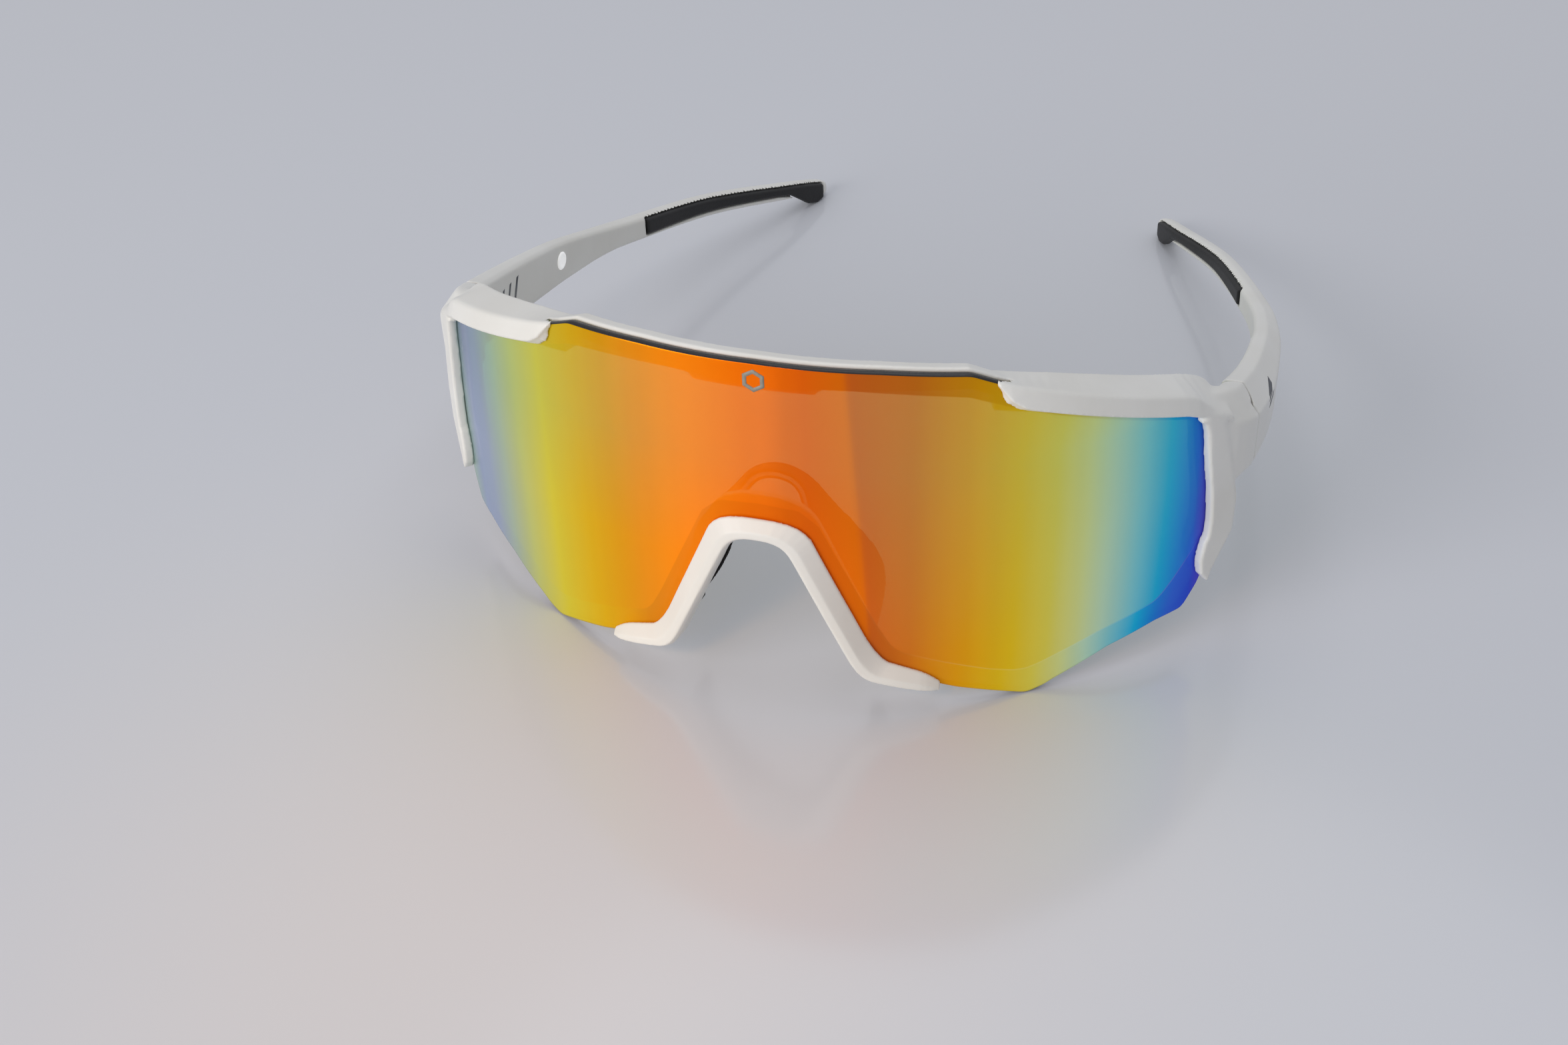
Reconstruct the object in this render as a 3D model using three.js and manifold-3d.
// Wraparound sport sunglasses: a cylindrical shield lens in a half-rim front, two folding temples.
//
// Bench frame (millimetres): +X is the wearer's left, +Y runs back to the temple tips, +Z is up
// along the axis of the lens cylinder, and the lens's front apex line is at x = 0, y = 0.
// The whole assembly is then leaned back until it rests on the lens's two lowest corners and the
// two temple tips, and moved so that the origin is the centre of its footprint on the table.
import * as THREE from 'three';
import { mergeVertices } from 'three/addons/utils/BufferGeometryUtils.js';
import Module from 'manifold-3d';

const wasm = await Module();
wasm.setup();

// ---- driving dimensions -------------------------------------------------------------------

const GAP = 0.3; // clearance between neighbouring pieces
const LEAN = THREE.MathUtils.degToRad(3.34); // backward lean of the front at rest on a table

// shield lens: a cylinder, outlined by arc length s and height h
const LENS_RADIUS = 82.5;
const LENS_THICKNESS = 1.3;
const LENS_TOP = 64.7; // height of the top edge at the centre
const LENS_SIDE = 75.8; // half of the arc width
const TOP_BEND = 33.2; // arc length where the top edge turns down
const LENS_FOOT = 0.7; // height of the lowest corners
const FOOT_ARC = 43.7; // arc length of the lowest corners
const NOTCH_TOP = 34.7; // height of the nose cut-out
const SIDE_CORNER = 16.5; // height where the lower outer corner meets the side

// brow bar behind the lens's top edge
const BAR_FRONT = -(LENS_THICKNESS + GAP);
const BAR_BACK = -4.4;
const BAR_FLANGE = 59.9; // height of the bar's lower edge
const BAR_DIP = 0.7; // extra depth of the bar at its centre
const BAR_DIP_ARC = 10;

// claws: the hooks over the lens's outer top edge, and the legs below them
const CLAW_TIP_ARC = 37; // where a claw starts, at its upper edge
const CLAW_CUT = 4.2; // arc length over which its end is cut diagonally
const CLAW_BEVEL = 2.4; // arc length over which its end rises off the lens
const CLAW_PROUD = 2.2; // how far its lower edge stands off the lens
const CLAW_BACK = -5.8; // how far it reaches behind the lens
const CORNER_ARC = 78.5; // arc length of its outer end, inside the front's side
const LEG_PROUD = 2;
const LEG_TIP = 14.4;
const LEG_TOP = 46.9;
const LEG_BACK = -3.6;

// hinge, one on each side
const HINGE_X = 67.5;
const HINGE_Y = 41.15;
const EAR_RADIUS = 2.6;
const SWING_RADIUS = EAR_RADIUS + 0.35; // kept clear for the turning parts
const BARREL_LOW = 36.4;
const BARREL_HIGH = 40.8;
const PIN_HOLE = 1.05;
const SHANK_RADIUS = 0.75;
const HEAD_RADIUS = 1.7;
const HEAD_LOW = 33.5;
const HEAD_HIGH = 34.6;
const SHANK_TOP = 44;
const INSERT_RADIUS = 1.6;
const INSERT_LOW = BARREL_HIGH + 2 * GAP;
const INSERT_HIGH = 44.2;

// sides and temples, as stations along y
const WING_START = 32; // where the front's side begins, behind the leg's face
const SEAM = HINGE_Y - GAP / 2; // where the front's side ends
const TIP = 158.8; // y of the temple's end
const TIP_ROUND = 1.6;
const GRIP_START = 110;
const GRIP_DEPTH = 1.3;
const GRIP_PROUD = 0.4;
const GRIP_LIP = 0.6; // width of the shell left above the grip
const FOOT_START = 152.4; // the grip's foot, which the glasses stand on
const FOOT_END = 154.8;

// table, through the flats worn on the lens's lowest corners and on the grips' feet
const FLAT_DEPTH = 0.4; // how much the flats take off the lens's corners

// nose trim and pad
const TRIM_BACK = -2.9;
const TRIM_EDGE = -1; // where the trim's inner face ends, above the chamfer behind it
const TRIM_ROUND = 1.6; // half of the length that a corner is rounded over
const PAD_ROUND = 2;
const PATH_STEP = 1.1;
const PAD_FRONT = -3.3;
const PAD_WALL = 1.9;
const CORE_WIDTH = 0.7;
const CORE_DEPTH = 1.2;

const MATERIALS = {
  white: new THREE.MeshStandardMaterial({ color: 0xe9e8e4, roughness: 0.38, metalness: 0 }),
  lens: new THREE.MeshStandardMaterial({ color: 0xdc7c32, roughness: 0.06, metalness: 0.85 }),
  rubber: new THREE.MeshStandardMaterial({ color: 0x242325, roughness: 0.75, metalness: 0 }),
  steel: new THREE.MeshStandardMaterial({ color: 0xb9bbbd, roughness: 0.3, metalness: 1 }),
  brass: new THREE.MeshStandardMaterial({ color: 0xc9a45c, roughness: 0.35, metalness: 1 }),
};

// ---- small tools --------------------------------------------------------------------------

/** A function through points [x, y, ...], straight between them. */
function polyline(points) {
  return (x) => {
    const last = points.length - 1;
    let i = 1;
    while (i < last && x > points[i][0]) i += 1;
    const [x0, y0] = points[i - 1];
    const [x1, y1] = points[i];
    return y0 + ((y1 - y0) * (x - x0)) / (x1 - x0);
  };
}

/** A smooth function through points [x, y, ...]. */
function smooth(points) {
  const curve = new THREE.SplineCurve(points.map(([x, y]) => new THREE.Vector2(x, y)));
  const samples = curve.getPoints(24 * points.length).map((p) => [p.x, p.y]);
  return polyline(samples);
}

/** Evenly spaced numbers from low to high, plus the extra ones that lie between them. */
function stations(low, high, step, extra = []) {
  const count = Math.max(1, Math.round((high - low) / step));
  const even = Array.from({ length: count + 1 }, (_, i) => low + ((high - low) * i) / count);
  const near = (x) => even.some((e) => Math.abs(e - x) < step * 0.25);
  const kept = extra.filter((x) => x > low && x < high && !near(x));
  return [...even, ...kept].sort((a, b) => a - b);
}

/** The point at arc length s and height h, d outside the lens's front surface. */
function onLens(s, h, d) {
  const angle = s / LENS_RADIUS;
  const radius = LENS_RADIUS + d;
  return new THREE.Vector3(radius * Math.sin(angle), LENS_RADIUS - radius * Math.cos(angle), h);
}

/** Triangles that close a ring, from its flat outline. */
function cap(ring) {
  const normal = new THREE.Vector3();
  ring.forEach((p, i) => {
    const q = ring[(i + 1) % ring.length];
    normal.add(new THREE.Vector3().crossVectors(p, q));
  });
  normal.normalize();
  const across = new THREE.Vector3().subVectors(ring[1], ring[0]);
  across.addScaledVector(normal, -across.dot(normal)).normalize();
  const up = new THREE.Vector3().crossVectors(normal, across);
  const flat = ring.map((p) => new THREE.Vector2(p.dot(across), p.dot(up)));
  return THREE.ShapeUtils.triangulateShape(flat, []);
}

/** A closed solid through rings that all have the same number of points. */
function loft(rings) {
  const size = rings[0].length;
  const points = rings.flat();
  const faces = [];
  for (let i = 0; i + 1 < rings.length; i += 1) {
    for (let j = 0; j < size; j += 1) {
      const a = i * size + j;
      const b = i * size + ((j + 1) % size);
      faces.push([a, b, b + size], [a, b + size, a + size]);
    }
  }
  const end = (rings.length - 1) * size;
  faces.push(...cap(rings[0]).map(([a, b, c]) => [c, b, a]));
  faces.push(...cap(rings.at(-1)).map(([a, b, c]) => [a + end, b + end, c + end]));
  return solidOf(points, faces);
}

/** A manifold solid from points and triangles, turned to face out. */
function solidOf(points, faces) {
  const volume = faces.reduce((sum, [a, b, c]) => {
    const normal = new THREE.Vector3().crossVectors(points[b], points[c]);
    return sum + points[a].dot(normal);
  }, 0);
  const outward = volume > 0 ? faces : faces.map(([a, b, c]) => [a, c, b]);
  const geometry = new THREE.BufferGeometry().setFromPoints(points);
  geometry.setIndex(outward.flat());
  return toSolid(geometry);
}

function toSolid(geometry) {
  const bare = geometry.clone();
  bare.deleteAttribute('normal');
  bare.deleteAttribute('uv');
  const merged = mergeVertices(bare, 1e-4);
  const mesh = new wasm.Mesh({
    numProp: 3,
    vertProperties: new Float32Array(merged.attributes.position.array),
    triVerts: new Uint32Array(merged.index.array),
  });
  return new wasm.Manifold(mesh);
}

function toGeometry(solid) {
  const mesh = solid.getMesh();
  const geometry = new THREE.BufferGeometry();
  geometry.setAttribute('position', new THREE.BufferAttribute(mesh.vertProperties, 3));
  geometry.setIndex(new THREE.BufferAttribute(mesh.triVerts, 1));
  return geometry;
}

/** The mirror image of a geometry across the plane x = 0, still facing out. */
function mirrored(geometry) {
  const copy = geometry.clone().scale(-1, 1, 1);
  const index = Array.from(copy.index.array);
  for (let i = 0; i < index.length; i += 3) {
    [index[i + 1], index[i + 2]] = [index[i + 2], index[i + 1]];
  }
  copy.setIndex(index);
  return copy;
}

function box(low, high) {
  const size = high.map((value, i) => value - low[i]);
  const middle = high.map((value, i) => (value + low[i]) / 2);
  return toSolid(new THREE.BoxGeometry(...size).translate(...middle));
}

/** A round bar along z, on the hinge axis. */
function onAxis(radius, low, high, sides = 28) {
  const bar = new THREE.CylinderGeometry(radius, radius, high - low, sides);
  bar.rotateX(Math.PI / 2).translate(HINGE_X, HINGE_Y, (low + high) / 2);
  return toSolid(bar);
}

function union(...solids) {
  return solids.reduce((all, next) => all.add(next));
}

/** A solid without the chips that a cut can leave at its ends. */
function largest(solid) {
  return solid.decompose().reduce((best, next) => (next.volume() > best.volume() ? next : best));
}

// ---- lens ---------------------------------------------------------------------------------

const lowerEdgePoints = [
  [0, NOTCH_TOP],
  [4.9, NOTCH_TOP - 0.3],
  [16.9, 9.9],
  [18.3, 8.7],
  [27.4, 5.6],
  [28.8, 4.6],
  [41.6, 1.4],
  [FOOT_ARC, LENS_FOOT],
  [47.5, 2.9],
  [57, 6.9],
  [66, 9.0],
  [71.6, 9.5],
  [74.9, 13.8],
  [LENS_SIDE, SIDE_CORNER],
];
const upperEdgePoints = [
  [0, LENS_TOP],
  [20, LENS_TOP - 0.4],
  [TOP_BEND, LENS_TOP - 1.3],
  [37.4, 61.6],
  [41.8, 59.7],
  [72.7, 49.4],
  [LENS_SIDE, 46.2],
];
const lensLower = polyline(lowerEdgePoints);
const lensUpper = polyline(upperEdgePoints);

/** The lens's own solid, or with margin, the space that its groove leaves for it. */
function lensSolid(margin) {
  const side = LENS_SIDE + margin;
  const corners = [...lowerEdgePoints, ...upperEdgePoints].map(([s]) => s);
  const arcs = stations(-side, side, 3, corners.concat(corners.map((s) => -s)));
  const front = margin;
  const back = -LENS_THICKNESS - margin;
  return loft(arcs.map((s) => {
    const reach = Math.min(Math.abs(s), LENS_SIDE);
    const low = lensLower(reach) - margin;
    const high = lensUpper(reach) + margin;
    return [onLens(s, low, front), onLens(s, high, front), onLens(s, high, back), onLens(s, low, back)];
  }));
}

const lensRoom = lensSolid(GAP);

/** Everything below the table, in the bench frame. */
function underTable() {
  const foot = onLens(FOOT_ARC, LENS_FOOT, 0);
  const level = foot.z * Math.cos(LEAN) - foot.y * Math.sin(LEAN) + FLAT_DEPTH;
  const depth = 20;
  const slab = new THREE.BoxGeometry(240, 400, depth).translate(0, 0, level - depth / 2);
  return toSolid(slab.rotateX(LEAN));
}

// ---- front frame --------------------------------------------------------------------------

function browBar() {
  const arcs = stations(-46, 46, 3, [-TOP_BEND, -BAR_DIP_ARC, BAR_DIP_ARC, TOP_BEND]);
  return loft(arcs.map((s) => {
    const reach = Math.abs(s);
    const top = lensUpper(reach);
    const dip = reach < BAR_DIP_ARC + 0.01 ? BAR_DIP : 0;
    const flange = Math.min(BAR_FLANGE - dip, top - 3.5);
    return [
      onLens(s, flange, BAR_FRONT),
      onLens(s, top - 0.1, BAR_FRONT),
      onLens(s, top + 0.2, BAR_FRONT - 0.4),
      onLens(s, top - 0.4, BAR_BACK),
      onLens(s, flange + 0.4, BAR_BACK),
    ];
  }));
}

const clawLower = polyline([
  [CLAW_TIP_ARC, 61.6],
  [CLAW_TIP_ARC + 1.6, 59.2],
  [CLAW_TIP_ARC + CLAW_CUT, 57.35],
  [69, 48.8],
  [71.4, 47.6],
  [75.5, 46.2],
  [CORNER_ARC, 44.5],
]);
const clawRidge = polyline([
  [CLAW_TIP_ARC, 62.2],
  [69.5, 52.2],
  [71.2, 51.2],
  [73, 49.5],
  [74.8, 48],
  [76.7, 47],
  [CORNER_ARC, 46.2],
]);
const clawBackEdge = polyline([
  [CLAW_TIP_ARC, 60.8],
  [47, 59],
  [55.5, 56.9],
  [60, 55.6],
  [73, 51.9],
  [76, 50.8],
  [CORNER_ARC, 49.2],
]);

/** The hook over the lens's outer top edge, on the wearer's left. */
function claw() {
  const bends = [CLAW_TIP_ARC + 1.6, CLAW_TIP_ARC + CLAW_BEVEL, CLAW_TIP_ARC + CLAW_CUT];
  const arcs = stations(CLAW_TIP_ARC, CORNER_ARC, 2, [...bends, 71.2, 73, 74.8, 76.7]);
  return loft(arcs.map((s) => {
    const rise = Math.min(1, (s - CLAW_TIP_ARC) / CLAW_BEVEL);
    const proud = 0.9 + (CLAW_PROUD - 0.9) * rise;
    const lower = clawLower(s);
    const ridge = clawRidge(s);
    const back = clawBackEdge(s);
    return [
      onLens(s, lower, proud - 0.5),
      onLens(s, lower + 0.3, proud),
      onLens(s, ridge - 0.3, proud - 0.9 * rise),
      onLens(s, ridge, proud - 0.9 - 0.6 * rise),
      onLens(s, back, CLAW_BACK + 0.5),
      onLens(s, back - 0.8, CLAW_BACK),
      onLens(s, back - 5.2, CLAW_BACK),
      onLens(s, back - 5.4, BAR_FRONT - 0.6),
    ];
  }));
}

const legInner = polyline([
  [LEG_TIP, 75.2],
  [16.3, 73.7],
  [18.9, 73.4],
  [22.2, 73.9],
  [23.8, 75.1],
  [31, 74.8],
  [38.3, 73.7],
  [42, 73.2],
  [44.6, 72.9],
  [45.8, 72.4],
  [LEG_TOP, 71.2],
]);
const legOuter = polyline([
  [LEG_TIP, 75.4],
  [16.3, 76.8],
  [20.2, 79.3],
  [22.8, 81],
  [29, 81.3],
  [45, 77.6],
  [LEG_TOP, 76.6],
]);

/** The leg down the lens's side edge, with its pointed tip. */
function leg() {
  const heights = stations(LEG_TIP, LEG_TOP, 3, [16.3, 18.9, 20.2, 22.5, 23.8, 42, 44.6, 45.8]);
  return loft(heights.map((h) => {
    const inner = legInner(h);
    const outer = legOuter(h);
    const width = outer - inner;
    const taper = Math.min(1, (h - LEG_TIP) / 7);
    const back = -2 + (LEG_BACK + 2) * taper;
    const draft = Math.min(1.1, width * 0.35);
    return [
      onLens(inner, h, LEG_PROUD - 0.3),
      onLens(inner + Math.min(0.3, width * 0.2), h, LEG_PROUD),
      onLens(outer - draft, h, LEG_PROUD),
      onLens(outer - draft * 0.6, h, LEG_PROUD - 0.3),
      onLens(outer, h, 0.7),
      onLens(outer, h, back + 0.7),
      onLens(outer - draft * 0.6, h, back),
      onLens(inner, h, back),
    ];
  }));
}

// sides: the same section runs through the front's wing and the temple behind it
const sideOuter = smooth([[WING_START, 67.5], [34, 69.1], [37, 70.7], [41, 71.7], [55, 72.3], [70, 71.6],
  [85, 69.9], [103, 65.7], [128.3, 55.6], [148.4, 43.8], [TIP, 38.7]]);
const sideWidth = smooth([[WING_START, 6.6], [41, 7.2], [55, 6.5], [70, 5.6], [85, 4.7], [103, 4.0],
  [127, 3.5], [148, 3.3], [TIP, 3.0]]);
const sideTop = smooth([[WING_START, 48.6], [36, 47.6], [41, 46.2], [54.6, 41.9], [78.9, 35], [103.4, 27.6],
  [128.3, 22.1], [148.8, 16.4], [TIP, 12.7]]);
const innerHeight = smooth([[WING_START, 14.3], [41, 12.4], [55, 10.8], [79, 8.6], [95, 6.0], [104, 5.0],
  [127, 4.3], [146, 3.5], [TIP, 3.1]]);
const outerHeight = smooth([[WING_START, 19.2], [36, 16.5], [41, 15.2], [59, 12.9], [68, 12], [85, 9],
  [104, 5.2], [127, 4.3], [146, 3.5], [TIP, 3.0]]);
const facet = smooth([[WING_START, 0.2], [41, 0.28], [70, 0.24], [103, 0.12], [TIP, 0.1]]);

/** Direction across the side at y, from its inner face to its outer face. */
function across(y) {
  const slope = sideOuter(y + 0.5) - sideOuter(y - 0.5);
  return new THREE.Vector2(1, -slope).normalize();
}

/** The side's section at y, drawn in by inset on every face. */
function sideRing(y, inset = 0) {
  const width = sideWidth(y);
  const top = sideTop(y) - inset;
  const inner = innerHeight(y) - inset * 2;
  const outer = outerHeight(y) - inset * 2;
  const direction = across(y);
  const at = (t, z) => {
    const shift = t * (width - 2 * inset) - width + inset;
    return new THREE.Vector3(sideOuter(y) + direction.x * shift, y + direction.y * shift, z);
  };
  return [
    at(0.05, top - inner),
    at(0, top - inner + 0.5),
    at(0, top - 0.7),
    at(0.12, top - 0.1),
    at(0.5, top),
    at(0.94, top - facet(y) * outer),
    at(1, top - facet(y) * outer - 0.5),
    at(0.97, top - 0.9 * outer),
    at(0.78, top - outer),
  ];
}

const hingePocket = union(
  box([HINGE_X - 8, HINGE_Y - SWING_RADIUS, 20], [HINGE_X + SWING_RADIUS, HINGE_Y + 2, 60]),
  onAxis(SWING_RADIUS, BARREL_LOW - GAP, BARREL_HIGH + GAP),
);

/** The side of the front behind the leg, with the two ears of its hinge. */
function wing() {
  const room = 3;
  const envelope = loft(stations(WING_START, SEAM + room, 2.2).map((y) => sideRing(y)));
  const body = envelope.subtract(box([0, SEAM, 0], [100, SEAM + 10, 80])).subtract(hingePocket);
  const ear = (low, high) => union(
    onAxis(EAR_RADIUS, low, high),
    box([HINGE_X - EAR_RADIUS, HINGE_Y - 6, low], [HINGE_X + EAR_RADIUS, HINGE_Y, high]),
  );
  const ears = ear(20, BARREL_LOW - GAP).add(ear(BARREL_HIGH + GAP, 60)).intersect(envelope);
  const holes = union(
    onAxis(PIN_HOLE, 20, BARREL_HIGH + 1),
    onAxis(HEAD_RADIUS + GAP, 20, HEAD_HIGH + GAP),
    onAxis(INSERT_RADIUS + GAP, BARREL_HIGH, INSERT_HIGH + GAP),
  );
  return body.add(ears).subtract(holes);
}

function frontFrame() {
  const half = union(claw(), leg(), wing());
  const other = toSolid(mirrored(toGeometry(half)));
  return union(browBar(), half, other).subtract(lensRoom);
}

// ---- nose trim, pad and core --------------------------------------------------------------

// stations along one half of the trim: inner edge s, h, outer edge s, h, rear flange s, h, and
// how far the front face stands off the lens
const trimStations = [
  [0, 33.1, 0, 36.5, 0, 39.5, 2.4],
  [2.8, 32.9, 5.2, 36.2, 4.6, 39.3, 2.4],
  [4.5, 31.7, 8.0, 34.6, 8.3, 37.3, 2.4],
  [6.2, 28.2, 9.6, 30.9, 10.7, 32.2, 2.5],
  [14.6, 9.8, 17.4, 13.4, 18.6, 14.4, 2.9],
  [16.3, 7.5, 19.6, 10.2, 20.6, 11.0, 2.9],
  [21.5, 6.0, 22.4, 9.2, 22.6, 9.8, 2.7],
  [26.4, 4.7, 26.5, 7.6, 26.6, 8.0, 2.3],
  [28.4, 4.4, 28.6, 5.8, 28.6, 6.2, 1.5],
];

/** Stations from one end of the inverted V to the other: every other number is an arc length. */
function wholePath(half, arcs) {
  const flip = (station) => station.map((value, i) => (arcs.includes(i) ? -value : value));
  return [...half.slice(1).map(flip).reverse(), ...half];
}

/** The same path in fine steps, with its corners rounded over a length of reach on each side. */
function rounded(path, reach) {
  const places = [0];
  for (let i = 1; i < path.length; i += 1) {
    const step = Math.hypot(path[i][0] - path[i - 1][0], path[i][1] - path[i - 1][1]);
    places.push(places[i - 1] + step);
  }
  const numbers = path[0].map((_, k) => polyline(path.map((station, i) => [places[i], station[k]])));
  const offsets = stations(-reach, reach, reach / 4);
  const mean = (number, t) => offsets.reduce((sum, o) => sum + number(t + o), 0) / offsets.length;
  return stations(0, places.at(-1), PATH_STEP).map((t) => numbers.map((number) => mean(number, t)));
}

function noseTrim() {
  const path = rounded(wholePath(trimStations, [0, 2, 4]), TRIM_ROUND);
  const rings = path.map(([s0, h0, s1, h1, sf, hf, depth]) => {
    const mix = (t) => [s0 + (s1 - s0) * t, h0 + (h1 - h0) * t];
    return [
      onLens(...mix(0.3), TRIM_BACK),
      onLens(s0, h0, TRIM_EDGE),
      onLens(s0, h0, depth - 0.8),
      onLens(...mix(0.12), depth),
      onLens(...mix(0.45), depth - 0.2),
      onLens(s1, h1, 0.75),
      onLens(s1, h1, 0.2),
      onLens(sf, hf, -1.2),
      onLens(sf, hf, TRIM_BACK),
    ];
  });
  return loft(rings).subtract(lensRoom);
}

// stations along one half of the pad's inner face: arc length, height and depth of its front
// edge, then of its back edge; the bridge at the centre hangs free behind the trim
const padStations = [
  [0, 38.3, -8.6, 0, 37.8, -11.6],
  [4.2, 36.9, -8.6, 4.8, 36.1, -11.6],
  [5.8, 32.6, -6.0, 7.4, 33.0, -11.6],
  [5.8, 28.6, PAD_FRONT, 10.4, 30.1, -11.6],
  [7.2, 25.0, PAD_FRONT, 14.2, 26.0, -11.6],
  [9.2, 21.0, PAD_FRONT, 17.0, 22.3, -11.6],
  [11.4, 17.8, PAD_FRONT, 18.1, 18.6, -11.4],
  [13.9, 14.4, PAD_FRONT, 17.6, 14.4, -11.0],
  [15.9, 10.6, PAD_FRONT, 16.3, 10.0, -10.0],
];

/** A wall along the pad, between two offsets from its inner face and two depths behind its front. */
function saddle(inside, outside, near, far) {
  const path = rounded(wholePath(padStations, [0, 3]), PAD_ROUND);
  const outward = (i, j) => {
    const before = path[Math.max(0, i - 1)];
    const after = path[Math.min(path.length - 1, i + 1)];
    return new THREE.Vector2(before[j + 1] - after[j + 1], after[j] - before[j]).normalize();
  };
  return loft(path.map(([s0, h0, d0, s1, h1, d1], i) => {
    const out = outward(i, 0).add(outward(i, 3)).normalize();
    const at = (n, behind) => {
      const t = behind / (d0 - d1);
      return onLens(s0 + (s1 - s0) * t + out.x * n, h0 + (h1 - h0) * t + out.y * n, d0 - behind);
    };
    const deep = Math.min(far, d0 - d1);
    return [at(inside, near), at(outside, near), at(outside, deep), at(inside, deep)];
  }));
}

function nosePad() {
  const middle = PAD_WALL / 2;
  const half = CORE_WIDTH / 2 + GAP;
  const slot = saddle(middle - half, middle + half, -1, CORE_DEPTH + GAP);
  return largest(saddle(0, PAD_WALL, 0, Infinity).subtract(slot));
}

function nosePadCore() {
  const middle = PAD_WALL / 2;
  const half = CORE_WIDTH / 2;
  return saddle(middle - half, middle + half, 0, CORE_DEPTH);
}

// ---- temples ------------------------------------------------------------------------------

// how far the grip's lower edge lies above the shell's, with the foot that hangs below it
const gripEdge = polyline([[GRIP_START, 0.8], [127, 1.2], [FOOT_START - 5, 1.2],
  [FOOT_START, -1.8], [FOOT_END, -1.8], [TIP, 0.6]]);

/** A recess for the grip along the temple's inner face, or with no margin, the grip itself. */
function gripSolid(margin) {
  const bends = [FOOT_START - 5, FOOT_START, FOOT_END];
  const ys = stations(GRIP_START - margin, TIP - TIP_ROUND - 0.6 + margin, 3, bends);
  return loft(ys.map((y) => {
    const top = sideTop(y) - GRIP_LIP + margin;
    const bottom = sideTop(y) - innerHeight(y) + gripEdge(y) - margin;
    const direction = across(y);
    const at = (shift, z) => {
      const t = shift - sideWidth(y);
      return new THREE.Vector3(sideOuter(y) + direction.x * t, y + direction.y * t, z);
    };
    const face = margin > 0 ? -2 : -GRIP_PROUD;
    const depth = GRIP_DEPTH + margin;
    const round = margin > 0 ? 0 : 0.35;
    return [
      at(depth, bottom),
      at(face + round, bottom),
      at(face, bottom + round),
      at(face, top - round),
      at(face + round, top),
      at(depth, top),
    ];
  }));
}

function temple() {
  const first = SEAM + GAP;
  const ys = stations(first, TIP - TIP_ROUND, 3);
  const rings = ys.map((y) => sideRing(y));
  rings.push(sideRing(TIP - TIP_ROUND * 0.4, 0.3), sideRing(TIP, 0.9));
  const swing = union(
    onAxis(SWING_RADIUS, 20, 60),
    box([HINGE_X - 8, HINGE_Y - 4, 20], [HINGE_X, HINGE_Y + SWING_RADIUS, 60]),
  );
  const barrel = union(
    onAxis(EAR_RADIUS, BARREL_LOW, BARREL_HIGH),
    box([HINGE_X - EAR_RADIUS, HINGE_Y, BARREL_LOW], [HINGE_X + EAR_RADIUS, HINGE_Y + 5, BARREL_HIGH]),
  );
  const shell = loft(rings).subtract(box([0, 0, 0], [100, first, 80])).subtract(swing);
  return shell.add(barrel).subtract(onAxis(PIN_HOLE, 20, 60)).subtract(gripSolid(GAP));
}

// ---- hinge hardware -----------------------------------------------------------------------

function hingeScrew() {
  const profile = [
    [0, HEAD_LOW],
    [HEAD_RADIUS - 0.3, HEAD_LOW],
    [HEAD_RADIUS, HEAD_LOW + 0.3],
    [HEAD_RADIUS, HEAD_HIGH],
    [SHANK_RADIUS, HEAD_HIGH],
    [SHANK_RADIUS, SHANK_TOP - 0.3],
    [SHANK_RADIUS - 0.3, SHANK_TOP],
    [0, SHANK_TOP],
  ].map(([r, z]) => new THREE.Vector2(r, z));
  const turned = new THREE.LatheGeometry(profile, 24).rotateX(Math.PI / 2);
  turned.translate(HINGE_X, HINGE_Y, 0);
  const slot = (along, wide) => box(
    [HINGE_X - along, HINGE_Y - wide, HEAD_LOW - 1],
    [HINGE_X + along, HINGE_Y + wide, HEAD_LOW + 0.5],
  );
  return toSolid(turned).subtract(slot(1.1, 0.22)).subtract(slot(0.22, 1.1));
}

function hingeInsert() {
  return onAxis(INSERT_RADIUS, INSERT_LOW, INSERT_HIGH).subtract(onAxis(PIN_HOLE, 20, 60));
}

// ---- assembly -----------------------------------------------------------------------------

const glasses = new THREE.Group();

function addPiece(name, geometry, material) {
  const mesh = new THREE.Mesh(geometry, material.clone());
  mesh.name = name;
  glasses.add(mesh);
}

/** Both copies of a piece that is made on the wearer's left. */
function addPair(name, solid, material) {
  const geometry = toGeometry(solid);
  addPiece(`${name}_left`, geometry, material);
  addPiece(`${name}_right`, mirrored(geometry), material);
}

addPiece('front_frame', toGeometry(frontFrame()), MATERIALS.white);
addPiece('shield_lens', toGeometry(lensSolid(0).subtract(underTable())), MATERIALS.lens);
addPiece('nose_trim', toGeometry(noseTrim()), MATERIALS.white);
addPiece('nose_pad', toGeometry(nosePad()), MATERIALS.rubber);
addPiece('nose_pad_core', toGeometry(nosePadCore()), MATERIALS.steel);
addPair('temple', temple(), MATERIALS.white);
addPair('temple_grip', gripSolid(0).subtract(underTable()), MATERIALS.rubber);
addPair('hinge_screw', hingeScrew(), MATERIALS.steel);
addPair('hinge_insert', hingeInsert(), MATERIALS.brass);

glasses.rotation.x = -LEAN;
glasses.updateMatrixWorld(true);
const bounds = new THREE.Box3().setFromObject(glasses, true);
const middle = bounds.getCenter(new THREE.Vector3());
glasses.position.set(-middle.x, -middle.y, -bounds.min.z);

export default glasses;
